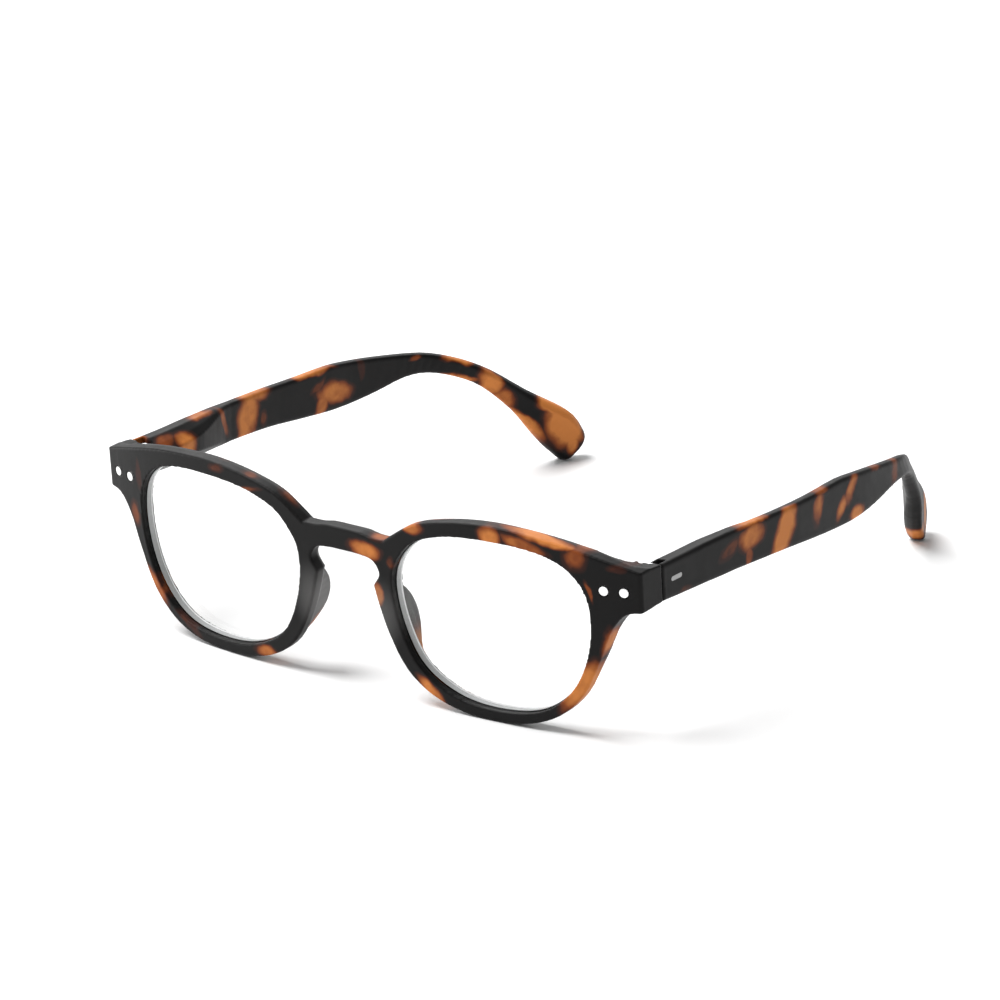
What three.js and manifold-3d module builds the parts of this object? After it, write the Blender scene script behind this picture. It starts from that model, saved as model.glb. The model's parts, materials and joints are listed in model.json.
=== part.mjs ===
// Folding reading glasses with a keyhole bridge, three-barrel spring hinges and curved ear tips.
//
// Frame: millimetres, +Z up, the front faces -Y, the temples run back along +Y, and x = 0 is the plane of
// symmetry. "left" is the wearer's left, which is +X. Everything is drawn with the front upright, its face
// touching y = 0 at the bridge and its rivets at z = 0; the whole group is then leaned forward by LEAN and
// set down on z = 0, as the glasses stand on a table on both rims and both ear tips.
import * as THREE from "three";
import { ConvexGeometry } from "three/addons/geometries/ConvexGeometry.js";
import { mergeVertices } from "three/addons/utils/BufferGeometryUtils.js";
import Module from "manifold-3d";

const wasm = await Module();
wasm.setup();

// ---------------------------------------------------------------------------------- driving dimensions
const LEAN = THREE.MathUtils.degToRad(3.02); // how far the front's top edge leans forward on a table

const HALF_WIDTH = 71; // outer side of each endpiece
const FRONT_THICKNESS = 4; // front to back through a rim
const FACE_BEND = 0.000828; // setback of the face: FACE_BEND x^2 + FACE_CURL x^4
const FACE_CURL = 1.527e-7;

const ENDPIECE_ROOT = 60; // where the endpiece begins inside the rim
const ENDPIECE_INNER = 66; // inner side of the endpiece, where it runs back to the hinge
const ENDPIECE_BACK = 15.2; // rear face of the endpiece
const SEAM = 0.3; // gap between the endpiece and the temple
const CORNER_BREAK = 0.55; // broken off the upright corner between the face and the endpiece's side
const BROW_RISE = 1.6; // how much higher the brow stays at the endpiece's root than at its side

const FRONT_EDGE = 0.25; // broken off all round the face
const TOP_EASE = 0.45; // taken off the rear edge above
const LOW_EASE = 1.1; // and below
const EASE_START = 1.6; // this far in front of the rear edge it begins
const EASE_HALF = 0.6; // and this far in front of it half is taken off

// Bounds well clear of the front, for shapes that cut right through it.
const CLEAR = { front: -5, back: 30, low: -40, high: 20, halfWidth: 67.5 };

const LENS_THICKNESS = 1.8;
const LENS_SETBACK = 1.6; // from the rim's front face to the lens
const LENS_BITE = 0.45; // how far the lens reaches into the rim
const GROOVE_PLAY = 0.12; // all round the lens in its groove

const RIVET_RADIUS = 1;
const RIVET_DEPTH = 2.6;
const RIVET_PROUD = 0.06;
const RIVET_X = { inner: 63.15, outer: 67.4 };

const AXIS_X = 67.4; // the hinge screw stands here, upright
const AXIS_Y = 15.9;
const BARREL_RADIUS = 1.45;
const BARREL_TOP = 2.4; // upper front barrel's top, and minus this the lower one's foot
const BARREL_INNER = 1; // where each front barrel faces the eye
const EYE_HALF = 0.75; // half height of the temple's eye
const SCREW_RADIUS = 0.55;
const BORE_RADIUS = 0.62;
const HEAD_RADIUS = 1;
const HEAD_HEIGHT = 0.5;
const WASHER_THICKNESS = 0.13;

const BLADE_THICKNESS = 2.5; // the thin part of a temple
const THICK_PART = 6.6; // the part that holds the spring hinge
const HOUSING = { x0: 65.95, x1: 68.85, z: 1.7, y0: 18.6, y1: 29 };
const HOUSING_WALL = 1;
const HOUSING_BORE = 1.15; // half the square bore that the spring lies in
const DROOP = 5; // degrees that the spring and its box slope down to the rear, as the blade does
const ROD_HALF = 0.65; // the slider's square neck
const ROD_RADIUS = 0.45;
const NUT_RADIUS = 1.05;
const NUT = { y0: 25.4, y1: 26.7 };
const SPRING = { y0: 19.8, y1: 25.2, radius: 0.78, wire: 0.14, turns: 8 };

const PLAY = 0.12; // between the hinge's fixed metal and the plastic round it

// --------------------------------------------------------------------------------------------- colours
const finish = (color, roughness, metalness = 0) =>
  new THREE.MeshStandardMaterial({ color, roughness, metalness });
const tortoise = finish(0x2b2422, 0.55);
const lensGlass = finish(0xdfe8ea, 0.05);
lensGlass.transparent = true;
lensGlass.opacity = 0.25;
const rivetMetal = finish(0xe6e6e4, 0.3, 0.9);
const hingeMetal = finish(0x8f9092, 0.35, 1);
const screwMetal = finish(0xb5b6b8, 0.25, 1);
const washerNylon = finish(0xd9d4c8, 0.6);
const springSteel = finish(0x9a9b9e, 0.3, 1);

// ----------------------------------------------------------------------------------------- solid tools
// A three.js geometry as a manifold solid, for joining and cutting.
function solid(geometry) {
  const bare = geometry.clone();
  for (const name of Object.keys(bare.attributes)) {
    if (name !== "position") bare.deleteAttribute(name);
  }
  const merged = mergeVertices(bare, 1e-4);
  return new wasm.Manifold(
    new wasm.Mesh({
      numProp: 3,
      vertProperties: new Float32Array(merged.attributes.position.array),
      triVerts: new Uint32Array(merged.index.array),
    }),
  );
}

// A manifold solid as a three.js geometry.
function geometryOf(shape) {
  const mesh = shape.getMesh();
  const geometry = new THREE.BufferGeometry();
  geometry.setAttribute("position", new THREE.BufferAttribute(mesh.vertProperties, mesh.numProp));
  geometry.setIndex(new THREE.BufferAttribute(mesh.triVerts, 1));
  const flat = geometry.toNonIndexed();
  flat.computeVertexNormals();
  return flat;
}

// A box from its lowest to its highest corner.
function box(x0, y0, z0, x1, y1, z1) {
  const geometry = new THREE.BoxGeometry(x1 - x0, y1 - y0, z1 - z0);
  geometry.translate((x0 + x1) / 2, (y0 + y1) / 2, (z0 + z1) / 2);
  return solid(geometry);
}

// An upright cylinder on (x, y), from z0 to z1.
function post(x, y, radius, z0, z1, sides = 28) {
  const geometry = new THREE.CylinderGeometry(radius, radius, z1 - z0, sides);
  geometry.rotateX(Math.PI / 2);
  geometry.translate(x, y, (z0 + z1) / 2);
  return solid(geometry);
}

// A rod along Y on (x, z = 0), from y0 to y1.
function rod(x, radius, y0, y1, sides = 20) {
  const geometry = new THREE.CylinderGeometry(radius, radius, y1 - y0, sides);
  geometry.translate(x, (y0 + y1) / 2, 0);
  return solid(geometry);
}

// A shape in the spring's box, turned down about the hinge as the box is.
function drooped(shape) {
  const geometry = geometryOf(shape);
  geometry.translate(0, -AXIS_Y, 0);
  geometry.rotateX(-THREE.MathUtils.degToRad(DROOP));
  geometry.translate(0, AXIS_Y, 0);
  return solid(geometry);
}

// A plan outline, as [x, y] corners, made into a solid from z0 to z1.
function plan(points, z0, z1) {
  const shape = new THREE.Shape(points.map(([x, y]) => new THREE.Vector2(x, y)));
  const geometry = new THREE.ExtrudeGeometry(shape, { depth: z1 - z0, bevelEnabled: false });
  geometry.translate(0, 0, z0);
  return solid(geometry);
}

// A front view outline, as [x, z] corners, made into a solid right through the front.
function elevation(points) {
  const shape = new THREE.Shape(points.map(([x, z]) => new THREE.Vector2(x, z)));
  const depth = CLEAR.back - CLEAR.front;
  const geometry = new THREE.ExtrudeGeometry(shape, { depth, bevelEnabled: false });
  geometry.rotateX(Math.PI / 2);
  geometry.translate(0, CLEAR.back, 0);
  return solid(geometry);
}

// A skin through equal rings of points, closed by a flat face on each end ring. The rings run anticlockwise,
// as seen looking along the loft. A hollow-sided end ring in an XZ plane is filled as an outline.
function loft(rings, hollowSided = false) {
  const count = rings[0].length;
  const positions = rings.flat().flatMap((p) => [p.x, p.y, p.z]);
  const index = [];
  for (let i = 0; i + 1 < rings.length; i++) {
    for (let j = 0; j < count; j++) {
      const a = i * count + j;
      const b = i * count + ((j + 1) % count);
      index.push(a, a + count, b, b, a + count, b + count);
    }
  }
  const last = (rings.length - 1) * count;
  const fan = [];
  for (let j = 1; j + 1 < count; j++) fan.push([0, j, j + 1]);
  const fill = (ring) =>
    THREE.ShapeUtils.triangulateShape(
      ring.map((p) => new THREE.Vector2(p.x, p.z)),
      [],
    );
  const startFaces = hollowSided ? fill(rings[0]) : fan;
  const endFaces = hollowSided ? fill(rings.at(-1)) : fan;
  for (const [a, b, c] of startFaces) index.push(a, b, c);
  for (const [a, b, c] of endFaces) index.push(last + a, last + c, last + b);
  const geometry = new THREE.BufferGeometry();
  geometry.setAttribute("position", new THREE.Float32BufferAttribute(positions, 3));
  geometry.setIndex(index);
  return solid(geometry);
}

// The mirror image of a geometry in x = 0, with its faces turned to keep facing out.
function mirrored(geometry) {
  const copy = geometry.clone();
  copy.scale(-1, 1, 1);
  const p = copy.attributes.position;
  for (let i = 0; i < p.count; i += 3) {
    const held = new THREE.Vector3().fromBufferAttribute(p, i + 1);
    p.setXYZ(i + 1, p.getX(i + 2), p.getY(i + 2), p.getZ(i + 2));
    p.setXYZ(i + 2, held.x, held.y, held.z);
  }
  copy.computeVertexNormals();
  return copy;
}

// ------------------------------------------------------------------------------------------- the front
// Setback of the front's face at x.
const faceY = (x) => FACE_BEND * x ** 2 + FACE_CURL * x ** 4;

// A smooth open run through [x, z] points, as `steps` points per stretch.
function smooth(points, steps) {
  const curve = new THREE.CatmullRomCurve3(
    points.map(([x, z]) => new THREE.Vector3(x, 0, z)),
    false,
    "centripetal",
  );
  return curve.getPoints((points.length - 1) * steps).map((p) => [p.x, p.z]);
}

// The right half of the front's outline, from the top of the bridge round to its underside.
const browLine = [
  [10.6, 2.1],
  [13.1, 3.9],
  [18.2, 7.05],
  [26.6, 9.25],
  [36.4, 10.3],
  [46.9, 9.8],
  [55, 8.6],
  [63.8, 6.4],
  [HALF_WIDTH, 4.4],
];
const cheekLine = [
  [HALF_WIDTH, -4.3],
  [67.5, -5],
  [64.5, -8.4],
  [61.4, -16],
  [57.4, -24.2],
  [51.9, -29.5],
  [45.2, -32.4],
  [37, -33.4],
  [28.8, -32.9],
  [21, -30.5],
  [15, -26],
  [10.7, -18.5],
  [8.3, -11.5],
  [7.5, -8.4],
];
const keyhole = [
  [7.5, -8.4],
  [9.1, -5.6],
  [7.6, -3],
  [4, -2.25],
  [0, -2.15],
];
const bridgeTop = [
  [0, 2.75],
  [4.6, 2.7],
  [7.4, 2.2],
  [10.6, 2.1],
];
// The opening that a lens fills.
const aperture = [
  [12.3, -8],
  [12.9, -3.6],
  [15, 0],
  [18.4, 3.3],
  [26.6, 6.1],
  [37.6, 6.95],
  [48.4, 6.2],
  [54.6, 3.9],
  [58.6, -0.6],
  [59.9, -7],
  [58.7, -16],
  [54.9, -23.7],
  [48.2, -29.1],
  [37.8, -31],
  [26.9, -29.7],
  [18.2, -24.6],
  [14, -16.7],
];

// The outline's corners, clockwise from the top of the bridge, each with how far its rear edge is taken off:
// a little above, more below and round the nose, and nothing where the endpieces run on to the back.
function outlinePoints() {
  const taken = (amount) => (point) => [
    ...point,
    amount * (1 - THREE.MathUtils.smoothstep(point[0], 56, 65)),
  ];
  const half = [
    ...smooth(bridgeTop, 3).slice(0, -1).map(taken(TOP_EASE)),
    ...smooth(browLine, 4).map(taken(TOP_EASE)),
    ...smooth(cheekLine, 4).slice(0, -1).map(taken(LOW_EASE)),
    ...smooth(keyhole, 4).map(taken(LOW_EASE)),
  ];
  const other = half.slice(1, -1).map(([x, z, ease]) => [-x, z, ease]);
  return [...half, ...other.reverse()];
}

// The outline as a wall through the front, with its front edge broken and its rear edge eased.
function outlineWall() {
  const points = outlinePoints();
  const count = points.length;
  const inward = points.map((_, i) => {
    const [x0, z0] = points[(i + count - 1) % count];
    const [x1, z1] = points[(i + 1) % count];
    return new THREE.Vector2(z1 - z0, x0 - x1).normalize();
  });
  const ring = (depth, frontShare, rearShare) =>
    points.map(([x, z, ease], i) => {
      const inset = FRONT_EDGE * frontShare + ease * rearShare;
      const px = x + inward[i].x * inset;
      const pz = z + inward[i].y * inset;
      return new THREE.Vector3(px, faceY(px) + depth, pz);
    });
  const shared = [
    ring(0, 1, 0),
    ring(FRONT_EDGE, 0, 0),
    ring(FRONT_THICKNESS - EASE_START, 0, 0),
    ring(FRONT_THICKNESS - EASE_HALF, 0, 0.5),
    ring(FRONT_THICKNESS, 0, 1),
  ];
  const flat = (from, y) => from.map((p) => new THREE.Vector3(p.x, y, p.z));
  const rings = [flat(shared[0], CLEAR.front), ...shared, flat(shared.at(-1), CLEAR.back)];
  return loft(rings.map((r) => r.slice().reverse()), true);
}

// The aperture's outline, let out by `grow` and followed with `count` points.
function apertureOutline(grow, count = 60) {
  const curve = new THREE.CatmullRomCurve3(
    aperture.map(([x, z]) => new THREE.Vector3(x, 0, z)),
    true,
    "centripetal",
  );
  const points = [];
  for (let i = 0; i < count; i++) {
    const at = curve.getPointAt(i / count);
    const along = curve.getTangentAt(i / count);
    points.push([at.x - along.z * grow, at.z + along.x * grow]);
  }
  return points;
}

// A slab that follows the bent face, between two depths behind it.
function bentSlab(near, far) {
  const steps = Math.round(CLEAR.halfWidth / 2.5);
  const xs = [];
  for (let i = -steps; i <= steps; i++) xs.push((i / steps) * CLEAR.halfWidth);
  const front = xs.map((x) => [x, faceY(x) + near]);
  const back = xs.map((x) => [x, faceY(x) + far]).reverse();
  return plan([...front, ...back], CLEAR.low, CLEAR.high);
}

// One endpiece in plan: the corner of the front wrapped back to the hinge.
function endpiecePlan() {
  return [
    [ENDPIECE_ROOT, faceY(ENDPIECE_ROOT) + 1],
    [66, faceY(66)],
    [HALF_WIDTH - CORNER_BREAK, faceY(HALF_WIDTH - CORNER_BREAK)],
    [HALF_WIDTH, faceY(HALF_WIDTH) + CORNER_BREAK / 2],
    [HALF_WIDTH, ENDPIECE_BACK],
    [ENDPIECE_INNER, ENDPIECE_BACK],
    [ENDPIECE_INNER, 12.6],
    [65.1, 11],
    [63.2, 10],
    [ENDPIECE_ROOT, faceY(ENDPIECE_ROOT) + FRONT_THICKNESS - 0.5],
  ];
}

// The fin behind one nasal rim that rests on the nose: its root on the rim and its free rear edge.
const padStations = [
  // z, root x, edge x, edge y
  [-8.4, 8.6, 9.9, 4.2],
  [-10.2, 8.4, 10.4, 6.2],
  [-13, 8.9, 10.6, 8.1],
  [-16, 9.8, 11.1, 8.9],
  [-19, 10.9, 11.9, 8.5],
  [-22, 12.6, 13.2, 6.9],
  [-25, 14.6, 15.2, 5.2],
  [-27.6, 17.4, 17.8, 4.1],
];
const PAD_ROOT = 2.6; // thickness at the rim
const PAD_TIP = 1.4; // and at the rear edge

function nosePad() {
  const path = (pick) =>
    new THREE.CatmullRomCurve3(padStations.map((row) => new THREE.Vector3(...pick(row))));
  const roots = path(([z, rootX]) => [rootX, 2, z]);
  const edges = path(([z, , edgeX, edgeY]) => [edgeX, edgeY, z]);
  const rings = [];
  const count = 14;
  for (let i = 0; i <= count; i++) {
    const root = roots.getPoint(i / count);
    const edge = edges.getPoint(i / count);
    rings.push(
      [
        [root.x, root.y],
        [root.x + PAD_ROOT, root.y],
        [edge.x + PAD_TIP, edge.y - 0.9],
        [edge.x + PAD_TIP * 0.85, edge.y - 0.3],
        [edge.x + PAD_TIP * 0.5, edge.y],
        [edge.x + PAD_TIP * 0.15, edge.y - 0.3],
        [edge.x, edge.y - 0.9],
      ].map(([x, y]) => new THREE.Vector3(x, y, root.z)),
    );
  }
  return loft(rings);
}

// The pocket in an endpiece for the front leaf of its hinge, and the rounding that the temple turns past.
function hingeSeat() {
  const pocket = box(
    AXIS_X - PLAY,
    10.4,
    -BARREL_TOP - PLAY,
    AXIS_X + BARREL_RADIUS + PLAY,
    ENDPIECE_BACK + 1,
    BARREL_TOP + PLAY,
  );
  const barrels = post(AXIS_X, AXIS_Y, BARREL_RADIUS + 0.25, -8, 8);
  const sweep = post(AXIS_X, AXIS_Y, 2.7, -8, 8).intersect(
    box(AXIS_X - 5, AXIS_Y - 5, -8, AXIS_X, AXIS_Y + 5, 8),
  );
  return pocket.add(barrels).add(sweep);
}

// The hole for a rivet: a post along the face's own normal.
function rivetShape(x, radius, depth) {
  const geometry = new THREE.CylinderGeometry(radius, radius, depth + RIVET_PROUD, 28);
  geometry.translate(0, -(depth - RIVET_PROUD) / 2, 0);
  geometry.rotateX(Math.PI);
  const slope = 2 * FACE_BEND * x + 4 * FACE_CURL * x ** 3;
  geometry.rotateZ(Math.atan(slope));
  geometry.translate(x, faceY(x), 0);
  return solid(geometry);
}

function frontFrame() {
  const above = browSlope();
  const slopes = above.add(solid(mirrored(geometryOf(above))));
  const end = plan(endpiecePlan(), CLEAR.low, CLEAR.high).subtract(endpieceFoot());
  const otherEnd = solid(mirrored(geometryOf(end)));
  const slab = bentSlab(0, FRONT_THICKNESS).add(end).add(otherEnd);
  let body = slab.subtract(slopes).intersect(outlineWall());
  const pad = nosePad();
  body = body.add(pad).add(solid(mirrored(geometryOf(pad))));
  const hole = elevation(apertureOutline(0));
  const groove = elevation(apertureOutline(LENS_BITE + GROOVE_PLAY)).intersect(
    bentSlab(LENS_SETBACK - GROOVE_PLAY, LENS_SETBACK + LENS_THICKNESS + GROOVE_PLAY),
  );
  let cuts = hole.add(groove).add(hingeSeat());
  for (const x of Object.values(RIVET_X)) {
    cuts = cuts.add(rivetShape(x, RIVET_RADIUS + 0.05, RIVET_DEPTH + 0.05));
  }
  cuts = cuts.add(solid(mirrored(geometryOf(cuts))));
  return geometryOf(body.subtract(cuts));
}

// What is cut from above, so that the brow slopes down to the hinge: a convex block.
function browSlope() {
  const slope = [
    [7.2, 6.3],
    [9.6, 5.05],
    [12, 4.3],
    [17, 3.75],
  ];
  const corners = [];
  for (const [x, rise] of [
    [ENDPIECE_ROOT, BROW_RISE],
    [HALF_WIDTH - 3, 0],
    [HALF_WIDTH + 5, 0],
  ]) {
    corners.push([x, slope[0][0], CLEAR.high], [x, slope.at(-1)[0], CLEAR.high]);
    for (const [y, z] of slope) corners.push([x, y, z + rise]);
  }
  return solid(new ConvexGeometry(corners.map((corner) => new THREE.Vector3(...corner))));
}

// What is cut from below, so that the endpiece stands clear behind the rim.
function endpieceFoot() {
  const outline = [
    [8.5, CLEAR.low],
    [17, CLEAR.low],
    [17, -4.2],
    [9.6, -4.3],
    [9.6, -12],
    [8.5, -12],
  ];
  const shape = new THREE.Shape(outline.map(([y, z]) => new THREE.Vector2(y, z)));
  const geometry = new THREE.ExtrudeGeometry(shape, { depth: 20, bevelEnabled: false });
  geometry.rotateY(Math.PI / 2);
  geometry.rotateX(Math.PI / 2);
  geometry.translate(ENDPIECE_ROOT, 0, 0);
  return solid(geometry);
}

function lens() {
  const slab = bentSlab(LENS_SETBACK, LENS_SETBACK + LENS_THICKNESS);
  return geometryOf(elevation(apertureOutline(LENS_BITE)).intersect(slab));
}

// ------------------------------------------------------------------------------------------- the hinge
// The front leaf: a plate held in the endpiece, with two barrels round the screw.
function hingeLeaf() {
  const plate = box(AXIS_X, 10.5, -BARREL_TOP, AXIS_X + BARREL_RADIUS, AXIS_Y, BARREL_TOP);
  const barrels = post(AXIS_X, AXIS_Y, BARREL_RADIUS, -BARREL_TOP, BARREL_TOP);
  const eyeRoom = box(
    AXIS_X - 3,
    AXIS_Y - BARREL_RADIUS - 0.2,
    -BARREL_INNER,
    AXIS_X + 3,
    AXIS_Y + 3,
    BARREL_INNER,
  );
  const bore = post(AXIS_X, AXIS_Y, BORE_RADIUS, -4, 4);
  return geometryOf(plate.add(barrels).subtract(eyeRoom).subtract(bore));
}

function hingeScrew() {
  const shank = post(AXIS_X, AXIS_Y, SCREW_RADIUS, -BARREL_TOP - 0.15, BARREL_TOP + 0.1);
  const headFoot = BARREL_TOP + 0.03;
  const head = post(AXIS_X, AXIS_Y, HEAD_RADIUS, headFoot, headFoot + HEAD_HEIGHT);
  const slot = box(AXIS_X - 2, AXIS_Y - 0.15, headFoot + 0.25, AXIS_X + 2, AXIS_Y + 0.15, 4);
  return geometryOf(shank.add(head).subtract(slot));
}

// A washer between the eye and a front barrel; side is 1 for the upper one and -1 for the lower one.
function washer(side) {
  const middle = (side * (EYE_HALF + BARREL_INNER)) / 2;
  const z0 = middle - WASHER_THICKNESS / 2;
  const z1 = middle + WASHER_THICKNESS / 2;
  const ring = post(AXIS_X, AXIS_Y, BARREL_RADIUS - 0.1, z0, z1, 24);
  return geometryOf(ring.subtract(post(AXIS_X, AXIS_Y, BORE_RADIUS, z0 - 1, z1 + 1, 24)));
}

// The sliding eye: a barrel on the screw, a square neck and a round rod for the spring.
function hingeSlider() {
  const eye = post(AXIS_X, AXIS_Y, BARREL_RADIUS, -EYE_HALF, EYE_HALF);
  const neck = box(
    AXIS_X - ROD_HALF,
    AXIS_Y + 0.7,
    -ROD_HALF,
    AXIS_X + ROD_HALF,
    HOUSING.y0 + HOUSING_WALL,
    ROD_HALF,
  );
  const stem = rod(AXIS_X, ROD_RADIUS, HOUSING.y0 + HOUSING_WALL - 0.2, NUT.y1 + 0.3);
  const bore = post(AXIS_X, AXIS_Y, BORE_RADIUS, -4, 4);
  return geometryOf(eye.add(drooped(neck.add(stem))).subtract(bore));
}

function sliderNut() {
  const nut = rod(AXIS_X, NUT_RADIUS, NUT.y0, NUT.y1, 6);
  const bore = rod(AXIS_X, ROD_RADIUS + 0.06, NUT.y0 - 1, NUT.y1 + 1);
  return geometryOf(drooped(nut.subtract(bore)));
}

// The spring's box: closed at the back, with a square hole in front for the slider's neck.
function springHousing() {
  const { x0, x1, y0, y1, z } = HOUSING;
  const shell = box(x0, y0, -z, x1, y1, z);
  const cavity = box(
    AXIS_X - HOUSING_BORE,
    y0 + HOUSING_WALL,
    -HOUSING_BORE,
    AXIS_X + HOUSING_BORE,
    y1 - HOUSING_WALL,
    HOUSING_BORE,
  );
  const hole = ROD_HALF + 0.1;
  const front = box(AXIS_X - hole, y0 - 1, -hole, AXIS_X + hole, y0 + HOUSING_WALL + 1, hole);
  return geometryOf(drooped(shell.subtract(cavity).subtract(front)));
}

function coilSpring() {
  class Helix extends THREE.Curve {
    getPoint(t, target = new THREE.Vector3()) {
      const angle = 2 * Math.PI * SPRING.turns * t;
      const y = THREE.MathUtils.lerp(SPRING.y0 + SPRING.wire, SPRING.y1 - SPRING.wire, t);
      const x = AXIS_X + SPRING.radius * Math.cos(angle);
      return target.set(x, y, SPRING.radius * Math.sin(angle));
    }
  }
  const section = new THREE.Shape();
  for (let i = 0; i < 5; i++) {
    const a = (2 * Math.PI * i) / 5;
    const x = SPRING.wire * Math.cos(a);
    const y = SPRING.wire * Math.sin(a);
    if (i === 0) section.moveTo(x, y);
    else section.lineTo(x, y);
  }
  const geometry = new THREE.ExtrudeGeometry(section, {
    steps: SPRING.turns * 10,
    extrudePath: new Helix(),
    bevelEnabled: false,
  });
  return geometryOf(drooped(solid(geometry)));
}

// ------------------------------------------------------------------------------------------ the temple
// The blade's middle surface from the hinge to the ear tip: x, y, z, height, thickness, and its roll in
// degrees about its own line.
const templeStations = [
  [69.8, 13, -0.1, 8.1, THICK_PART, 0],
  [69.8, 24, -1, 8.5, THICK_PART, 0],
  [69.9, 31, -1.45, 8.8, THICK_PART - 0.3, 0],
  [70, 36, -1.85, 8.95, 5.2, 0],
  [70.1, 41, -2.2, 9, 3.8, 0],
  [70.25, 46.5, -2.75, 9, 2.6, 0],
  [70.45, 60, -4.05, 9.25, BLADE_THICKNESS, 0],
  [70.05, 70, -5.2, 9.9, BLADE_THICKNESS, 0],
  [69.4, 80.4, -6.2, 10.7, BLADE_THICKNESS, 0],
  [69, 88, -7.05, 10, BLADE_THICKNESS, 0],
  [68.2, 95.6, -7.7, 8.4, BLADE_THICKNESS, 0],
  [66.8, 105, -8.35, 5.6, BLADE_THICKNESS, -2],
  [64.9, 112, -9.7, 4.6, BLADE_THICKNESS, -8],
  [61.5, 118.6, -12.5, 4.3, BLADE_THICKNESS, -16],
  [58.1, 124.5, -16.4, 4.3, 2.8, -20],
  [54.8, 131.8, -23.5, 5.7, 3.3, -17],
  [52, 137.1, -29.5, 8.9, 4.1, -5],
  [50.3, 140.3, -33.3, 10.1, 4.1, 0],
  [49.1, 142.8, -37.25, 8.9, 4, 0],
];
const EDGE_RADIUS = 0.8;
const FLAT_BASE = 1.5; // the flat top and bottom measure FLAT_BASE + FLAT_SHARE x thickness across
const FLAT_SHARE = 0.23;
const SHOULDER_FALL = 0.73; // height lost by a shoulder of the thick part, against its width
const TIP_LENGTH = 2.2; // how far the rounded end runs on past the last station
const TIP_UPPER = 4.2; // how much height its upper corner loses in rounding off
const TIP_LOWER = 2.2; // and its lower corner, which stands on the table

// The section of a temple: [u, v] with u outwards and v up, anticlockwise seen along +Y. Its corners are
// round, but the thick part's inner ones slope away as flat shoulders.
function bladeSection(thickness, v0, v1, radius) {
  const u1 = BLADE_THICKNESS / 2;
  const u0 = u1 - thickness;
  const width = Math.max(radius, thickness - FLAT_BASE - FLAT_SHARE * thickness);
  const fall = radius + (width - radius) * SHOULDER_FALL;
  const corners = [
    [u1 - radius, v1 - radius, radius, radius, 0],
    [u0 + width, v1 - fall, width, fall, 90],
    [u0 + width, v0 + fall, width, fall, 180],
    [u1 - radius, v0 + radius, radius, radius, 270],
  ];
  const points = [];
  for (const [u, v, ru, rv, start] of corners) {
    const bulge = 0.5 + (Math.SQRT1_2 - 0.5) * (radius / ru);
    for (const [turn, reach] of [
      [0, 1],
      [45, bulge / Math.SQRT1_2],
      [90, 1],
    ]) {
      const a = THREE.MathUtils.degToRad(start + turn);
      points.push([u + ru * reach * Math.cos(a), v + rv * reach * Math.sin(a)]);
    }
  }
  return points;
}

function templeBlank() {
  const path = (pick) =>
    new THREE.CatmullRomCurve3(
      templeStations.map((row) => new THREE.Vector3(...pick(row))),
      false,
      "catmullrom",
      0.5,
    );
  const spine = path(([x, y, z]) => [x, y, z]);
  const girth = path(([, , , height, thickness, roll]) => [height, thickness, roll]);
  const rings = [];
  const frameAt = (t) => {
    const { x: height, y: thickness, z: roll } = girth.getPoint(t);
    const along = spine.getTangent(t);
    const out = new THREE.Vector3(along.y, -along.x, 0).normalize();
    out.applyAxisAngle(along, THREE.MathUtils.degToRad(roll));
    const up = new THREE.Vector3().crossVectors(out, along).normalize();
    return { at: spine.getPoint(t), along, out, up, height, thickness };
  };
  const addRing = ({ at, out, up }, section) =>
    rings.push(
      section.map(([u, v]) => at.clone().addScaledVector(out, u).addScaledVector(up, v)),
    );
  const count = 54;
  for (let i = 0; i <= count; i++) {
    const frame = frameAt(i / count);
    const half = frame.height / 2;
    addRing(frame, bladeSection(frame.thickness, -half, half, EDGE_RADIUS));
  }
  const end = frameAt(1);
  for (const angle of [25, 50, 75]) {
    const a = THREE.MathUtils.degToRad(angle);
    const lost = 1 - Math.cos(a);
    const at = end.at.clone().addScaledVector(end.along, TIP_LENGTH * Math.sin(a));
    addRing(
      { ...end, at },
      bladeSection(
        end.thickness - 0.9 * lost,
        -end.height / 2 + TIP_LOWER * lost,
        end.height / 2 - TIP_UPPER * lost,
        EDGE_RADIUS * (1 - 0.5 * lost),
      ),
    );
  }
  return loft(rings);
}

function temple() {
  const start = ENDPIECE_BACK + SEAM;
  const behindSeam = box(50, 5, -20, 80, start, 20);
  // In plan: a notch that takes the barrels, and the inner corner taken off so that it can turn.
  const notch = plan(
    [
      [69.9, start - 3],
      [69.9, 18.4],
      [66, 16.9],
      [65.6, 16.6],
      [62, 20],
      [58, start - 3],
    ],
    -20,
    20,
  );
  const barrelRoom = post(AXIS_X, AXIS_Y, BARREL_RADIUS + 0.3, -20, 20);
  const { x0, x1, y1, z } = HOUSING;
  const pocket = drooped(box(x0 - PLAY, AXIS_Y, -z - PLAY, x1 + PLAY, y1 + PLAY, z + PLAY));
  return geometryOf(
    templeBlank()
      .subtract(behindSeam)
      .subtract(notch)
      .subtract(barrelRoom)
      .subtract(pocket),
  );
}

// --------------------------------------------------------------------------------------------- assembly
const glasses = new THREE.Group();
const upright = new THREE.Group();
glasses.add(upright);

function place(name, geometry, material) {
  const mesh = new THREE.Mesh(geometry, material);
  mesh.name = name;
  upright.add(mesh);
}

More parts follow.
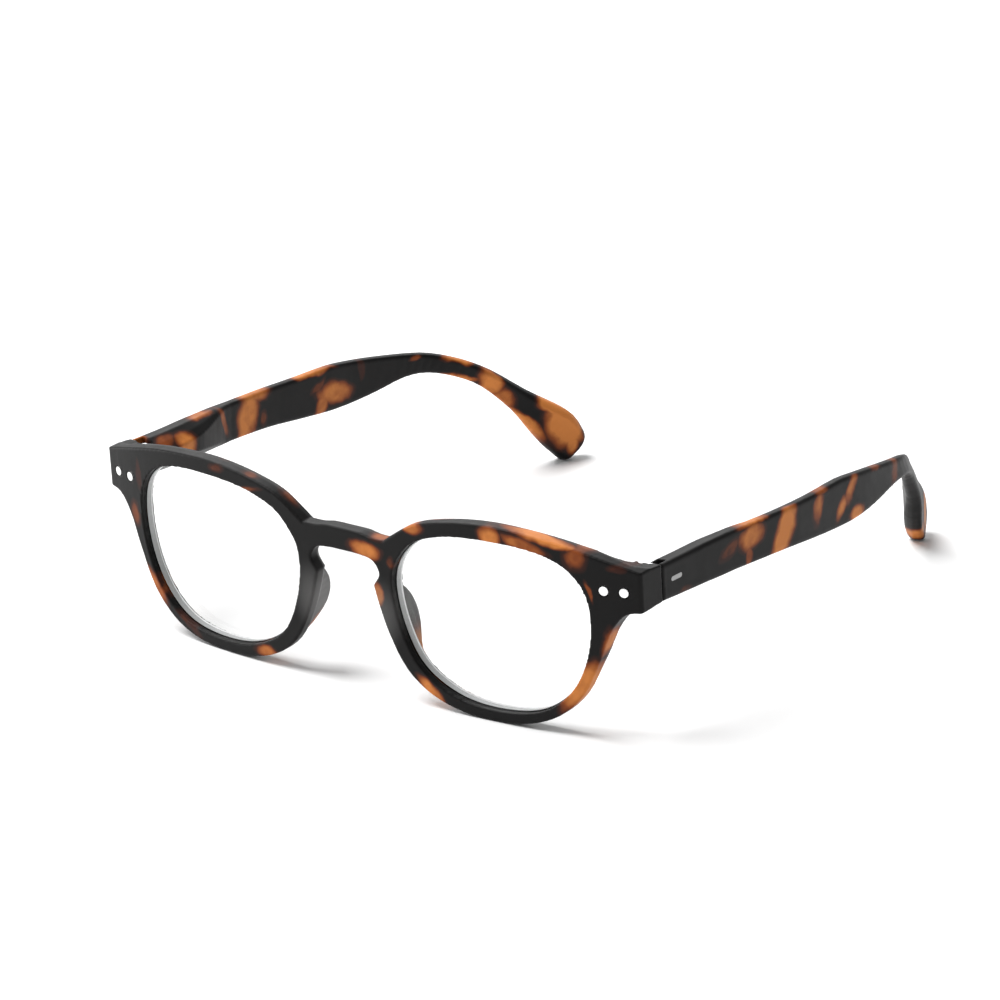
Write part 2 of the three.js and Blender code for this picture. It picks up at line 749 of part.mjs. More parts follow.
const onePerSide = {
  lens: [lens(), lensGlass],
  rivet_inner: [geometryOf(rivetShape(RIVET_X.inner, RIVET_RADIUS, RIVET_DEPTH)), rivetMetal],
  rivet_outer: [geometryOf(rivetShape(RIVET_X.outer, RIVET_RADIUS, RIVET_DEPTH)), rivetMetal],
  hinge_leaf: [hingeLeaf(), hingeMetal],
  hinge_screw: [hingeScrew(), screwMetal],
  washer_upper: [washer(1), washerNylon],
  washer_lower: [washer(-1), washerNylon],
  hinge_slider: [hingeSlider(), hingeMetal],
  slider_nut: [sliderNut(), screwMetal],
  coil_spring: [coilSpring(), springSteel],
  spring_housing: [springHousing(), hingeMetal],
  temple: [temple(), tortoise],
};

place("front_frame", frontFrame(), tortoise);
for (const [name, [geometry, material]] of Object.entries(onePerSide)) {
  place("left_" + name, geometry, material);
  place("right_" + name, mirrored(geometry), material);
}

// Lean the upright glasses forward, then stand them on z = 0 with the middle of their box over the origin.
upright.rotation.x = LEAN;
upright.updateMatrixWorld(true);
const extent = new THREE.Box3().setFromObject(upright, true);
upright.position.set(0, -(extent.min.y + extent.max.y) / 2, -extent.min.z);

export default glasses;
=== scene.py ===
import json
import math

import bmesh
import bpy
import numpy as np
from mathutils import Matrix, Vector

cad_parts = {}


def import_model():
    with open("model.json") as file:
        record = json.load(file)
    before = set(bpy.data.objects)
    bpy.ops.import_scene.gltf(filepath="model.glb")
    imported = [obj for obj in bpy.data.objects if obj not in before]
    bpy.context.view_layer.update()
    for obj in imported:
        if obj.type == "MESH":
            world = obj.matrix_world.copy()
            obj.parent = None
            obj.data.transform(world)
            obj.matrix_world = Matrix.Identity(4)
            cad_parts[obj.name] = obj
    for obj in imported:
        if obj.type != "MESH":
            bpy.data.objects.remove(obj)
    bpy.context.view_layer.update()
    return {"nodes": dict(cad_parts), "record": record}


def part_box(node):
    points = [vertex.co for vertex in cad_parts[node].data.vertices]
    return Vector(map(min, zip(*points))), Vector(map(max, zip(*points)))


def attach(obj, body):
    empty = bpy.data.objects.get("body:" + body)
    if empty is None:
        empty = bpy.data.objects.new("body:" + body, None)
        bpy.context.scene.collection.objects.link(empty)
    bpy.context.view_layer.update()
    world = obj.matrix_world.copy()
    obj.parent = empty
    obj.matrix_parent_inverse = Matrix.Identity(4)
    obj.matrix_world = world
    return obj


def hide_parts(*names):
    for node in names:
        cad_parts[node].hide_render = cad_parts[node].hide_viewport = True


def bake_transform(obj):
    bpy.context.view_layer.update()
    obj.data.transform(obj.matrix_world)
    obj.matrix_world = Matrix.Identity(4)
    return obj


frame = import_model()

MM = 0.001
SIDES = ("left", "right")
FOLD = next(j for j in frame["record"]["behaviour"]["joints"] if j["name"] == "left_temple_fold")
HINGE = Vector(FOLD["pos_m"])
FOLD_AXIS = Vector(FOLD["axis"])
LEAN = math.atan2(-FOLD_AXIS.y, FOLD_AXIS.z)  # how far the upright front leans forward
HINGE_IN_FRONT = Vector((67.4, 15.9, 0)) * MM  # the left hinge screw in the upright front's own frame


# ------------------------------------------------------------------------------------ node helpers
def new_material(name):
    """A material with its Principled shader; returns (material, tree, shader)."""
    material = bpy.data.materials.new(name)
    material.use_nodes = True
    tree = material.node_tree
    shader = tree.nodes["Principled BSDF"]
    return material, tree, shader


def add(tree, kind, values=None, **settings):
    """One node with its settings and socket values; a value that is a socket is linked."""
    node = tree.nodes.new(kind)
    for key, value in settings.items():
        setattr(node, key, value)
    for key, value in (values or {}).items():
        if isinstance(value, bpy.types.NodeSocket):
            tree.links.new(value, node.inputs[key])
        else:
            node.inputs[key].default_value = value
    return node


def math_node(tree, operation, a, b=0.0, clamp=False):
    return add(tree, "ShaderNodeMath", {0: a, 1: b}, operation=operation, use_clamp=clamp).outputs[0]


def place(tree):
    """Object coordinates in millimetres: the row frame at rest, as every node sits at the origin."""
    coordinates = add(tree, "ShaderNodeTexCoord").outputs["Object"]
    values = {0: coordinates, "Scale": 1 / MM}
    return add(tree, "ShaderNodeVectorMath", values, operation="SCALE").outputs[0]


def noise(tree, vector, per_mm, detail=2.0, roughness=0.5):
    values = {"Vector": vector, "Scale": per_mm, "Detail": detail, "Roughness": roughness}
    return add(tree, "ShaderNodeTexNoise", values).outputs


def ramp(tree, value, stops):
    node = add(tree, "ShaderNodeValToRGB", {0: value})
    elements = node.color_ramp.elements
    elements[0].position, elements[0].color = stops[0][0], (*stops[0][1], 1)
    elements[1].position, elements[1].color = stops[-1][0], (*stops[-1][1], 1)
    for position, color in stops[1:-1]:
        elements.new(position).color = (*color, 1)
    return node.outputs[0]


def spread(tree, value, low, high):
    """value, from 0 to 1, moved to the range from low to high."""
    return add(tree, "ShaderNodeMapRange", {0: value, 3: low, 4: high}).outputs[0]


def bump(tree, height, distance_mm, strength=1.0):
    values = {"Height": height, "Distance": distance_mm * MM, "Strength": strength}
    return add(tree, "ShaderNodeBump", values).outputs[0]


# ------------------------------------------------------------------------------------ tortoiseshell
def patch_group():
    """A group that gives strength inside one soft-edged ellipsoid and 0 outside it."""
    group = bpy.data.node_groups.new("tortoise patch", "ShaderNodeTree")
    for name, kind in (
        ("Vector", "NodeSocketVector"),
        ("Centre", "NodeSocketVector"),
        ("Share", "NodeSocketVector"),
        ("Turn", "NodeSocketVector"),
        ("Strength", "NodeSocketFloat"),
        ("Below", "NodeSocketFloat"),
    ):
        group.interface.new_socket(name, in_out="INPUT", socket_type=kind)
    group.interface.new_socket("Value", in_out="OUTPUT", socket_type="NodeSocketFloat")
    given = group.nodes.new("NodeGroupInput").outputs
    turned = add(
        group,
        "ShaderNodeVectorRotate",
        {"Vector": given["Vector"], "Center": given["Centre"], "Rotation": given["Turn"]},
        rotation_type="EULER_XYZ",
    ).outputs[0]
    offset = add(
        group, "ShaderNodeVectorMath", {0: turned, 1: given["Centre"]}, operation="SUBTRACT"
    ).outputs[0]
    scaled = add(
        group, "ShaderNodeVectorMath", {0: offset, 1: given["Share"]}, operation="MULTIPLY"
    ).outputs[0]
    distance = add(group, "ShaderNodeVectorMath", {0: scaled}, operation="LENGTH").outputs["Value"]
    fade = add(
        group,
        "ShaderNodeMapRange",
        {0: distance, 1: 0.38, 2: 1.5, 3: given["Strength"], 4: 0.0},
        interpolation_type="SMOOTHSTEP",
    ).outputs[0]
    highest = math_node(group, "MAXIMUM", fade, given["Below"])
    result = group.nodes.new("NodeGroupOutput")
    group.links.new(highest, result.inputs["Value"])
    return group


PATCH = patch_group()
ALL = 99.0  # a patch that goes right through in this direction

# Patches as centre, radii, turn in degrees in the surface's own plane, and strength, in millimetres.
FRONT_PATCHES = [
    ((6, -74, 32.6), (4.2, ALL, 2.1), 0, 0.9),
    ((9, -71.5, 36.3), (3.2, 3, 1.7), 0, 0.7),
    ((-1, -71, 37.2), (4, 2.5, 0.9), 0, 0.55),
    ((8.5, -72, 23.2), (1.5, ALL, 3.1), 0, 0.95),
    ((12.7, -72, 31), (1, ALL, 1.6), 0, 0.42),
    ((18.3, -72, 39.8), (2.8, ALL, 1.6), 0, 0.8),
    ((24, -70, 42), (4.5, 2, 1.1), 0, 0.6),
    ((37.6, -72, 41.2), (3, ALL, 2.7), -25, 0.92),
    ((45.5, -72, 41), (6, ALL, 1.9), -15, 0.7),
    ((50, -70.3, 43.2), (11, 2.4, 1.5), -4, 1.0),
    ((57.3, -72, 40), (3, ALL, 3), 0, 0.6),
    ((66, -72, 38.9), (2.2, ALL, 1), 0, 0.36),
    ((57.2, -70, 11.4), (7.5, ALL, 2.9), 54, 0.95),
    ((63.8, -66, 20), (2.0, 3.0, 6), 0, 0.95),
    ((21, -72, 4), (4.4, ALL, 1.7), -40, 0.92),
    ((16, -66, 13), (4, 4, 6.5), 0, 1.0),
    ((-16, -66, 13), (4, 4, 6.5), 0, 1.0),
    ((59.9, -71, 33), (0.6, ALL, 2.8), 12, 0.6),
    ((32, -68, 4.5), (9, 2.4, 1.2), 0, 0.75),
    ((15, -68.5, 20), (1.4, 2.2, 7), 8, 0.45),
    ((-62, -70, 25.5), (1.8, ALL, 3.4), 8, 0.5),
    ((-57.2, -70, 10.2), (6, ALL, 1.8), -50, 0.74),
    ((-60, -70, 35), (1, ALL, 4), 0, 0.33),
    ((-34.5, -72, 42.6), (2.6, ALL, 1.3), 0, 0.42),
    ((-28.5, -72, 38.8), (7, ALL, 1), 16, 0.55),
    ((-26, -72, 42.5), (3, 1.5, 1.1), 0, 0.45),
    ((-14.5, -71.5, 40), (4.5, 2, 2.6), 0, 0.5),
    ((-23.5, -72, 3), (3.4, ALL, 1.7), 0, 0.76),
    ((-47, -72, 3.5), (5, ALL, 1), -30, 0.36),
]
LEFT_PATCHES = [
    ((70, -27.8, 34.6), (ALL, 4.4, 3.1), 10, 0.88),
    ((70, -35, 34), (ALL, 4.6, 1.9), 18, 0.45),
    ((70, -28.6, 30.8), (ALL, 1.3, 3), 0, 0.6),
    ((72.6, -15.8, 32.5), (2.5, 9, 3.6), 64, 1.15),
    ((72.4, -2.6, 33.8), (2.5, 4.8, 2.2), 68, 0.85),
    ((71.8, 11.1, 33.6), (2.6, 5, 2.1), 55, 1.05),
    ((72, 7, 30.2), (2.7, 4, 2), 40, 1.0),
    ((70, 13.2, 27.1), (ALL, 3.4, 2.2), 12, 1.0),
    ((70, 31.5, 31.6), (ALL, 4.4, 2.4), 75, 0.5),
    ((70, -50.5, 30), (ALL, 2.4, 1), 0, 0.38),
    ((70, -26.8, 37.6), (ALL, 5.4, 1), 0, 0.95),
    ((70, -1, 36.6), (ALL, 3, 0.9), 0, 0.6),
    ((70, 22.5, 34.6), (ALL, 2.8, 0.9), 0, 0.5),
    ((51, 70.8, 6.5), (5, 1.8, 6), 0, 1.0),
    ((52, 66.3, 2.6), (5, 3, 2.8), 0, 1.0),
]
RIGHT_PATCHES = [
    ((-68.5, -30.6, 34.2), (ALL, 4, 1.3), -62, 0.68),
    ((-69, -18.5, 37.1), (ALL, 5.5, 2), -6, 0.95),
    ((-69, -21.4, 33), (ALL, 6.8, 3.5), 73, 1.0),
    ((-69, -16.2, 31), (ALL, 1.4, 2.4), 0, 0.42),
    ((-68, 7.9, 30.3), (ALL, 6.2, 2.8), -12, 0.92),
    ((-68, 3.8, 28.6), (ALL, 4, 2.2), 55, 0.78),
    ((-68, 2.6, 33.2), (ALL, 3, 1.2), 30, 0.46),
    ((-68, 17.2, 33.6), (ALL, 1.3, 3.2), 0, 0.36),
    ((-70, 0.5, 36.9), (ALL, 8, 1.1), -5, 0.95),
    ((-69, 44.5, 29.2), (ALL, 4.4, 1.1), -14, 0.95),
    ((-69, 33.5, 32.2), (ALL, 2, 0.9), 0, 0.55),
    ((-68, 44, 25), (ALL, 5.5, 1.1), -14, 0.9),
    ((-69.9, -58, 37), (2.5, 2.5, 2.5), 0, 0.9),
    ((-66.2, -52.8, 36.2), (2.4, 3.6, 2.2), 0, 0.6),
    ((-65, -47.4, 34), (2.4, 3.4, 4.2), 0, 1.0),
    ((-68.8, -38, 38), (3, 4.8, 1.3), 0, 0.8),
    ((-56.5, 51.2, 23), (ALL, 4.4, 2.3), -68, 1.0),
    ((-54.4, 54.2, 18), (ALL, 3.6, 2.3), -55, 0.78),
    ((-53, 58.4, 11.6), (ALL, 7.4, 1.4), -53, 0.95),
    ((-47.8, 67.4, 9.8), (ALL, 6.2, 4.8), -72, 1.35),
    ((-49, 64.6, 14.4), (ALL, 4, 2), -30, 1.2),
    ((-47, 69, 4.2), (ALL, 1.9, 3), 0, 0.95),
]

CHARCOAL = (0.0046, 0.0043, 0.0043)
MAROON = (0.036, 0.0095, 0.0052)
RUST = (0.21, 0.049, 0.010)
AMBER = (0.56, 0.190, 0.042)
# painted highlight: the paler charcoal of the nose pads stands in for the light they catch
PAD_PAINTED_HIGHLIGHT = (0.12, 0.118, 0.116)
DRIFT = 2.6  # millimetres across which the patches' edges wander

# The printed bar: half the length of its straight part, half its width, and its place.
BAR_HALF = 1.35
BAR_RADIUS = 0.5
BAR_BLUR = 0.04
BAR_FORWARD = 3.6  # from the middle of the spring's housing


def tortoiseshell(name, patches, turn_axis, mark_side=0):
    """Soft-touch charcoal plastic with amber patches, and a printed bar on a temple's outer side."""
    material, tree, shader = new_material(name)
    where = place(tree)
    cloud = noise(tree, where, 0.17, 2.5, 0.5)["Color"]
    values = {0: cloud, 1: (0.5, 0.5, 0.5)}
    centred = add(tree, "ShaderNodeVectorMath", values, operation="SUBTRACT").outputs[0]
    values = {0: centred, "Scale": DRIFT}
    drift = add(tree, "ShaderNodeVectorMath", values, operation="SCALE").outputs[0]
    bent = add(tree, "ShaderNodeVectorMath", {0: where, 1: drift}, operation="ADD").outputs[0]
    field = 0.0
    for centre, radii, turn, strength in patches:
        euler = Vector((0, 0, 0))
        euler[turn_axis] = math.radians(-turn if turn_axis == 0 else turn)
        values = {
            "Vector": bent,
            "Centre": centre,
            "Share": [1 / r for r in radii],
            "Turn": euler,
            "Strength": strength,
            "Below": field,
        }
        field = add(tree, "ShaderNodeGroup", values, node_tree=PATCH).outputs[0]
    grain = noise(tree, where, 0.35, 3.0, 0.5)["Fac"]
    mottled = math_node(tree, "MULTIPLY", field, spread(tree, grain, 0.68, 1.25), clamp=True)
    color = ramp(tree, mottled, [(0.12, CHARCOAL), (0.34, MAROON), (0.58, RUST), (0.98, AMBER)])
    if mark_side:
        color = printed_bar(tree, where, color, mark_side)
    else:
        # painted highlight on the nose pads
        color = painted_pad_highlight(tree, where, color)
    tree.links.new(color, shader.inputs["Base Color"])
    fine = noise(tree, where, 5.0, 2.0, 0.5)["Fac"]
    broad = noise(tree, where, 0.4, 2.0, 0.5)["Fac"]
    tree.links.new(spread(tree, broad, 0.40, 0.52), shader.inputs["Roughness"])
    tree.links.new(bump(tree, fine, 0.02, 0.5), shader.inputs["Normal"])
    shader.inputs["Specular IOR Level"].default_value = 0.12
    shader.inputs["Sheen Weight"].default_value = 0.05
    shader.inputs["Sheen Roughness"].default_value = 0.4
    return material


def printed_bar(tree, where, color, side):
    """A pale bar with round ends, printed on a temple's outer side just behind the hinge."""
    low, high = (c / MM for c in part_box(f"{'left' if side > 0 else 'right'}_spring_housing"))
    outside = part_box("front_frame")[1].x / MM
    centre = Vector((side * outside, (low.y + high.y) / 2 - BAR_FORWARD, (low.z + high.z) / 2))
    offset = add(tree, "ShaderNodeVectorMath", {0: where, 1: centre}, operation="SUBTRACT").outputs[0]
    axes = add(tree, "ShaderNodeSeparateXYZ", {0: offset}).outputs
    beyond = math_node(tree, "SUBTRACT", math_node(tree, "ABSOLUTE", axes["Y"]), BAR_HALF)
    beyond = math_node(tree, "MAXIMUM", beyond, 0.0)
    corner = add(tree, "ShaderNodeCombineXYZ", {"X": beyond, "Y": axes["Z"]}).outputs[0]
    distance = add(tree, "ShaderNodeVectorMath", {0: corner}, operation="LENGTH").outputs["Value"]
    values = {0: distance, 1: BAR_RADIUS - BAR_BLUR, 2: BAR_RADIUS + BAR_BLUR, 3: 0.9, 4: 0.0}
    inside = add(tree, "ShaderNodeMapRange", values).outputs[0]
    outer = math_node(tree, "GREATER_THAN", math_node(tree, "MULTIPLY", axes["X"], side), -0.9)
    mask = math_node(tree, "MULTIPLY", inside, outer)
    values = {0: mask, 6: color, 7: (0.5, 0.5, 0.5, 1)}
    return add(tree, "ShaderNodeMix", values, data_type="RGBA").outputs[2]


def painted_pad_highlight(tree, where, color):
    """The nose pads painted a paler charcoal: a painted highlight where they catch the light."""
    highlight_share = 0.0
    for side in (1, -1):
        values = {
            "Vector": where,
            "Centre": (side * 9.5, -66, 19),
            "Share": (1 / 5, 1 / 8, 1 / 8),
            "Strength": 1.0,
            "Below": highlight_share,
        }
        highlight_share = add(tree, "ShaderNodeGroup", values, node_tree=PATCH).outputs[0]
    # mixes the painted highlight into the pads' colour
    values = {0: highlight_share, 6: color, 7: (*PAD_PAINTED_HIGHLIGHT, 1)}
    return add(tree, "ShaderNodeMix", values, data_type="RGBA").outputs[2]


# ------------------------------------------------------------------------------------ other materials
def metal(name, color, roughness, stretch, per_mm):
    """Metal with fine marks drawn out along one direction."""
    material, tree, shader = new_material(name)
    where = place(tree)
    drawn = add(tree, "ShaderNodeVectorMath", {0: where, 1: stretch}, operation="MULTIPLY").outputs[0]
    lines = noise(tree, drawn, per_mm, 3.0, 0.6)["Fac"]
    cloud = noise(tree, where, 0.8, 2.0, 0.5)["Fac"]
    darker = tuple(0.78 * c for c in color)
    tree.links.new(ramp(tree, cloud, [(0.3, darker), (0.7, color)]), shader.inputs["Base Color"])
    tree.links.new(spread(tree, lines, roughness - 0.08, roughness + 0.1), shader.inputs["Roughness"])
    tree.links.new(bump(tree, lines, 0.012, 0.5), shader.inputs["Normal"])
    shader.inputs["Metallic"].default_value = 1.0
    return material


def nylon():
    """Milky, slightly cloudy nylon."""
    material, tree, shader = new_material("washer nylon")
    where = place(tree)
    cloud = noise(tree, where, 1.2, 3.0, 0.6)["Fac"]
    color = ramp(tree, cloud, [(0.3, (0.58, 0.54, 0.45)), (0.7, (0.72, 0.69, 0.6))])
    tree.links.new(color, shader.inputs["Base Color"])
    tree.links.new(spread(tree, cloud, 0.45, 0.6), shader.inputs["Roughness"])
    tree.links.new(bump(tree, noise(tree, where, 6.0)["Fac"], 0.01, 0.4), shader.inputs["Normal"])
    return material


def clear_lens():
    """Polished clear plastic: it only mirrors, more at a slant, and is seen straight through."""
    material, tree, shader = new_material("lens clear")
    where = place(tree)
    cloud = noise(tree, where, 0.05, 1.0)["Fac"]
    tint = ramp(tree, cloud, [(0.3, (0.93, 0.97, 0.97)), (0.7, (0.97, 0.99, 0.97))])
    tree.links.new(tint, shader.inputs["Base Color"])
    tree.links.new(spread(tree, noise(tree, where, 0.3)["Fac"], 0.02, 0.05), shader.inputs["Roughness"])
    shader.inputs["Metallic"].default_value = 1.0
    facing = add(tree, "ShaderNodeLayerWeight", {"Blend": 0.5}).outputs["Facing"]
    slant = math_node(tree, "POWER", facing, 5.0)
    tree.links.new(spread(tree, slant, 0.04, 1.0), shader.inputs["Alpha"])
    return material


def frosted(name, color, low, high):
    """The ground edge of a lens."""
    material, tree, shader = new_material(name)
    where = place(tree)
    cloud = noise(tree, where, 1.5, 3.0, 0.6)["Fac"]
    darker = tuple(0.86 * c for c in color)
    tree.links.new(ramp(tree, cloud, [(0.3, darker), (0.7, color)]), shader.inputs["Base Color"])
    tree.links.new(spread(tree, cloud, low, high), shader.inputs["Roughness"])
    tree.links.new(bump(tree, noise(tree, where, 8.0)["Fac"], 0.01, 0.5), shader.inputs["Normal"])
    return material


# ------------------------------------------------------------------------------------ pieces
def copy_of(node, name):
    mesh = frame["nodes"][node].data.copy()
    mesh.name = name
    mesh.materials.clear()
    piece = bpy.data.objects.new(name, mesh)
    bpy.context.scene.collection.objects.link(piece)
    return piece


def applied(piece):
    """The piece with its modifiers applied to its mesh."""
    graph = bpy.context.evaluated_depsgraph_get()
    mesh = bpy.data.meshes.new_from_object(piece.evaluated_get(graph))
    piece.modifiers.clear()
    piece.data = mesh
    return piece


STEP_IN = 0.55
STEP_BACK = -0.58


def evened(mesh, passes):
    """Smooths a mesh without shrinking it: each step inwards is followed by a longer one back."""
    count = len(mesh.vertices)
    points = np.empty(count * 3)
    mesh.vertices.foreach_get("co", points)
    points = points.reshape(-1, 3)
    ends = np.empty(len(mesh.edges) * 2, dtype=np.int32)
    mesh.edges.foreach_get("vertices", ends)
    first, second = ends[::2], ends[1::2]
    degree = np.bincount(ends, minlength=count)
    for _ in range(passes):
        for step in (STEP_IN, STEP_BACK):
            for k in range(3):
                total = np.bincount(first, points[second, k], count)
                total += np.bincount(second, points[first, k], count)
                points[:, k] += step * (total / degree - points[:, k])
    mesh.vertices.foreach_set("co", points.ravel())
    mesh.update()


def moulded(node, body, material, voxel=0.3 * MM, passes=6, most=90000):
    """A moulded plastic part from its CAD solid: the same shape with softened edges."""
    piece = copy_of(node, f"{node}_moulded")
    remesh = piece.modifiers.new("remesh", "REMESH")
    remesh.mode = "VOXEL"
    remesh.voxel_size = voxel * 1
    remesh.adaptivity = 0
    fit = piece.modifiers.new("fit", "SHRINKWRAP")
    fit.target = frame["nodes"][node]
    fit.wrap_method = "NEAREST_SURFACEPOINT"
    applied(piece)
    evened(piece.data, passes)
    triangles = 2 * len(piece.data.polygons)
    if triangles > most:
        thin = piece.modifiers.new("thin", "DECIMATE")
        thin.ratio = most / triangles
        applied(piece)
    piece.data.shade_smooth()
    piece.data.materials.clear()
    piece.data.materials.append(material)
    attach(piece, body)
    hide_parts(node)
    return piece


WELD_WITHIN = 0.001 * MM  # the CAD mesh keeps each triangle's corners apart


def spring_piece(side, material):
    """The coil spring, smoothed from its CAD solid; in the hinge it is held by the temple at its front
    end and by the slider's nut at its back end, but here it is tied to no body.
    """
    node = f"{side}_coil_spring"
    piece = copy_of(node, f"{node}_wound")
    weld = piece.modifiers.new("weld", "WELD")
    weld.merge_threshold = WELD_WITHIN
    finer = piece.modifiers.new("finer", "SUBSURF")
    finer.levels = 1
    finer.render_levels = 1
    applied(piece)
    piece.data.shade_smooth()
    piece.data.materials.clear()
    piece.data.materials.append(material)
    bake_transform(piece)
    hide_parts(node)
    return piece


LENS_INSET = 0.52 * MM  # from the CAD lens, which reaches into the rim, to just inside the opening
LENS_CHAMFER = 0.22 * MM
LENS_POINTS = 144


def lens_profile(node):
    """A CAD lens in the upright front's frame: its outline, and its two faces as curves of x."""
    upright = Matrix.Rotation(-LEAN, 4, "X")
    points = np.array([upright @ v.co for v in frame["nodes"][node].data.vertices])
    middle = (points.min(0) + points.max(0)) / 2
    angles = np.arctan2(points[:, 2] - middle[2], points[:, 0] - middle[0])
    reach = np.hypot(points[:, 2] - middle[2], points[:, 0] - middle[0])
    order = np.argsort(angles)
    at = np.linspace(-math.pi, math.pi, LENS_POINTS, endpoint=False)
    radius = np.interp(at, angles[order], reach[order], period=2 * math.pi)
    for _ in range(4):
        radius = (np.roll(radius, 1) + 2 * radius + np.roll(radius, -1)) / 4
    across = points[:, 0] - middle[0]
    halfway = np.polyval(np.polyfit(across, points[:, 1], 4), across)
    faces = []
    for behind in (False, True):
        chosen = (points[:, 1] > halfway) == behind
        faces.append(np.polyfit(across[chosen], points[chosen, 1], 4))
    return middle, at, radius, faces


def lens_piece(side, materials):
    """A clear lens whose ground edge stands just inside the wall of its opening."""
    middle, at, radius, (near, far) = lens_profile(f"{side}_lens")
    lean = Matrix.Rotation(LEAN, 4, "X")
    mesh = bpy.data.meshes.new(f"{side}_lens_ground")
    shape = bmesh.new()

    def ring(inset, face, depth):
        reach = radius - inset
        x, z = reach * np.cos(at), reach * np.sin(at)
        y = np.polyval(face, x) + depth
        points = zip(middle[0] + x, y, middle[2] + z)
        return [shape.verts.new(lean @ Vector(p)) for p in points]

    def cap_rings(face, outer):
        return [ring(radius - share * (radius - outer), face, 0) for share in (0.1, 0.4, 0.7, 0.9)]

    bevelled = LENS_INSET + LENS_CHAMFER
    rings = [
        *cap_rings(near, bevelled),
        ring(bevelled, near, 0),
        ring(LENS_INSET, near, LENS_CHAMFER),
        ring(LENS_INSET, far, -LENS_CHAMFER),
        ring(bevelled, far, 0),
        *reversed(cap_rings(far, bevelled)),
    ]
    kinds = [0, 0, 0, 0, 2, 1, 2, 0, 0, 0, 0]
    for first, second, kind in zip(rings, rings[1:], kinds):
        for i in range(LENS_POINTS):
            j = (i + 1) % LENS_POINTS
            shape.faces.new((first[i], first[j], second[j], second[i])).material_index = kind
    shape.faces.new(rings[0])
    shape.faces.new(rings[-1])
    bmesh.ops.recalc_face_normals(shape, faces=shape.faces)
    bmesh.ops.triangulate(shape, faces=[f for f in shape.faces if len(f.verts) > 4])
    shape.to_mesh(mesh)
    shape.free()
    mesh.shade_smooth()
    mesh.set_sharp_from_angle(angle=math.radians(25))
    for material in materials:
        mesh.materials.append(material)
    piece = bpy.data.objects.new(mesh.name, mesh)
    bpy.context.scene.collection.objects.link(piece)
    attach(piece, "front")
    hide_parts(f"{side}_lens")
    return piece


def dress_hinge(side):
    """The shown CAD nodes of one hinge and its rivets, each in its own material."""
    dress = {
        "rivet_inner": RIVET_STEEL,
        "rivet_outer": RIVET_STEEL,
        "hinge_leaf": HINGE_SATIN,
        "hinge_slider": HINGE_SATIN,
        "spring_housing": HINGE_SATIN,
        "hinge_screw": SCREW_TURNED,
        "slider_nut": SCREW_TURNED,
        "washer_upper": WASHER_NYLON,
        "washer_lower": WASHER_NYLON,
    }
    for part, material in dress.items():
        for material_slot in frame["nodes"][f"{side}_{part}"].material_slots:
            material_slot.material = material


# ------------------------------------------------------------------------------------ build
FRONT = tortoiseshell("tortoise front", FRONT_PATCHES, 1)
LEFT = tortoiseshell("tortoise left", LEFT_PATCHES, 0, mark_side=1)
RIGHT = tortoiseshell("tortoise right", RIGHT_PATCHES, 0, mark_side=-1)
LENS = [
    clear_lens(),
    frosted("lens edge", (0.48, 0.49, 0.49), 0.4, 0.6),
    frosted("lens chamfer", (0.9, 0.9, 0.9), 0.3, 0.5),
]
SPRING_WIRE = metal("spring wire", (0.62, 0.63, 0.64), 0.25, (2, 2, 2), 3.0)
RIVET_STEEL = metal("rivet steel", (0.93, 0.93, 0.92), 0.28, (1, 1, 1), 2.0)
HINGE_SATIN = metal("hinge satin", (0.38, 0.38, 0.39), 0.3, (0.3, 3, 3), 3.0)
SCREW_TURNED = metal("screw turned", (0.72, 0.72, 0.73), 0.22, (1, 1, 6), 2.5)
WASHER_NYLON = nylon()

moulded("front_frame", "front", FRONT)
moulded("left_temple", "left_arm", LEFT, passes=14)
moulded("right_temple", "right_arm", RIGHT, passes=14)

for side in SIDES:
    lens_piece(side, LENS)
    spring_piece(side, SPRING_WIRE)
    dress_hinge(side)


# ------------------------------------------------------------------------------------ stage
def stage():
    """A plain pale floor at the height that the glasses stand on."""
    mesh = bpy.data.meshes.new("floor")
    half = 12.0
    corners = [(-half, -half, 0), (half, -half, 0), (half, half, 0), (-half, half, 0)]
    mesh.from_pydata(corners, [], [(0, 1, 2, 3)])
    floor = bpy.data.objects.new("floor", mesh)
    bpy.context.scene.collection.objects.link(floor)
    material, tree, shader = new_material("floor paper")
    cloud = noise(tree, place(tree), 0.02, 2.0)["Fac"]
    color = ramp(tree, cloud, [(0.3, (0.86, 0.86, 0.86)), (0.7, (0.88, 0.88, 0.88))])
    tree.links.new(color, shader.inputs["Base Color"])
    shader.inputs["Roughness"].default_value = 0.9
    shader.inputs["Specular IOR Level"].default_value = 0.1
    mesh.materials.append(material)


def world(strength):
    sky = bpy.data.worlds.new("studio")
    sky.use_nodes = True
    sky.node_tree.nodes["Background"].inputs[0].default_value = (1, 1, 1, 1)
    sky.node_tree.nodes["Background"].inputs[1].default_value = strength
    bpy.context.scene.world = sky


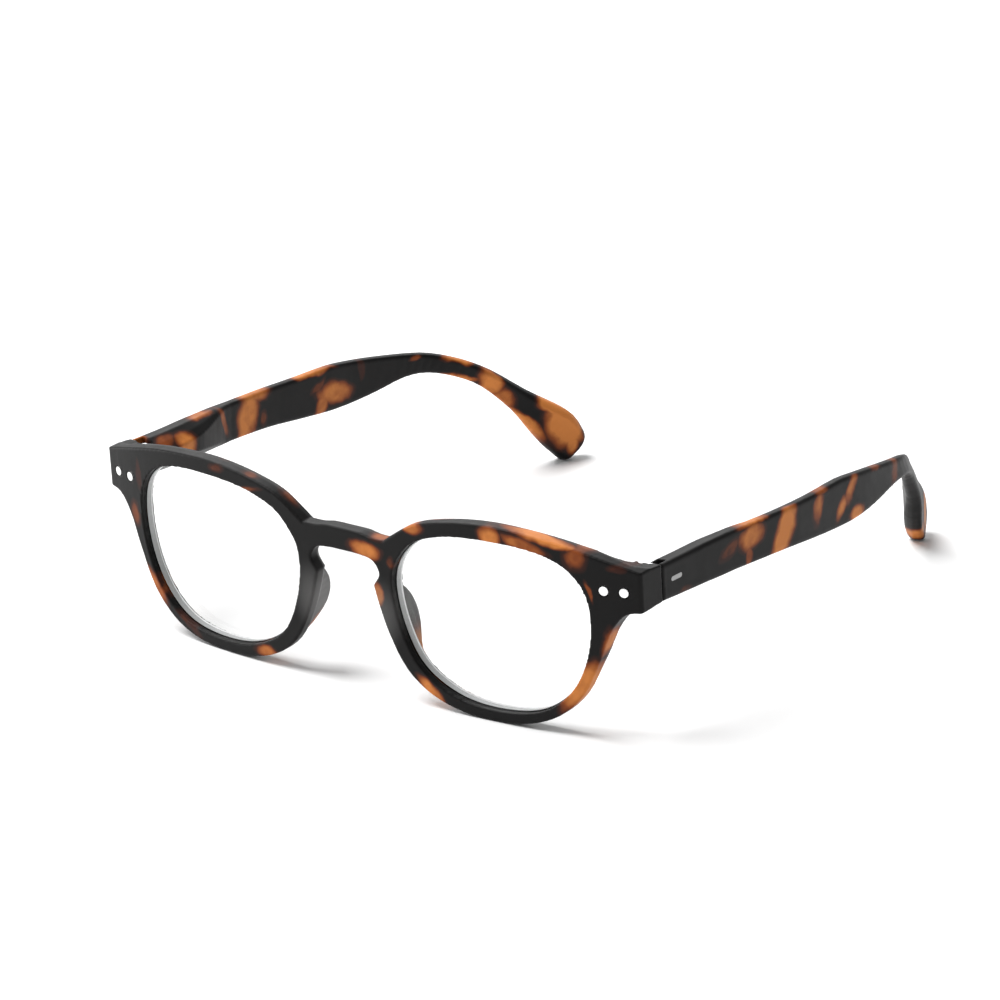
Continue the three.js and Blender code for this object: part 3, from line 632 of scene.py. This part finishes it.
def sun(name, strength, spread_degrees, place_at):
    light = bpy.data.lights.new(name, "SUN")
    light.energy = strength
    light.angle = math.radians(spread_degrees)
    lamp = bpy.data.objects.new(name, light)
    lamp.rotation_euler = (-Vector(place_at)).to_track_quat("-Z", "Y").to_euler()
    bpy.context.scene.collection.objects.link(lamp)


def panel(name, size, watts, place_at, aim):
    light = bpy.data.lights.new(name, "AREA")
    light.shape = "RECTANGLE"
    light.size, light.size_y = size
    light.energy = watts
    lamp = bpy.data.objects.new(name, light)
    lamp.location = place_at
    lamp.rotation_euler = (Vector(aim) - Vector(place_at)).to_track_quat("-Z", "Y").to_euler()
    bpy.context.scene.collection.objects.link(lamp)


def camera():
    """The photograph's view, in the upright front's own frame, which leans with the real one."""
    azimuth, elevation, roll = (math.radians(a) for a in (38.38, 22.09, -3.42))
    back = Vector(
        (
            math.sin(azimuth) * math.cos(elevation),
            -math.cos(azimuth) * math.cos(elevation),
            math.sin(elevation),
        )
    )
    right = (-back).cross(Vector((0, 0, 1))).normalized()
    up = right.cross(-back)
    across = math.cos(roll) * right + math.sin(roll) * up
    upward = -math.sin(roll) * right + math.cos(roll) * up
    turn = Matrix((across, upward, back)).transposed().to_4x4()
    upright = Matrix.Rotation(LEAN, 4, "X")
    origin = HINGE - upright.to_3x3() @ HINGE_IN_FRONT
    eye = Matrix.Translation(Vector((670.0, -792.3, 428.0)) * MM)
    data = bpy.data.cameras.new("camera")
    data.lens = 194.2
    data.sensor_width = 36
    data.clip_start = 0.05
    data.clip_end = 60
    view = bpy.data.objects.new("camera", data)
    view.matrix_world = Matrix.Translation(origin) @ upright @ eye @ turn
    bpy.context.scene.collection.objects.link(view)
    bpy.context.scene.camera = view


stage()
world(0.25)
sun("key", 3.9, 36, (-0.45, -0.2, 1.1))
panel("side", (0.9, 0.5), 6.5, (-0.95, -0.36, 0.2), (0, 0, 0.02))
panel("back", (0.9, 0.5), 5.0, (-0.62, 0.78, 0.6), (0, 0, 0.02))
camera()
bpy.context.scene.view_settings.view_transform = "Standard"
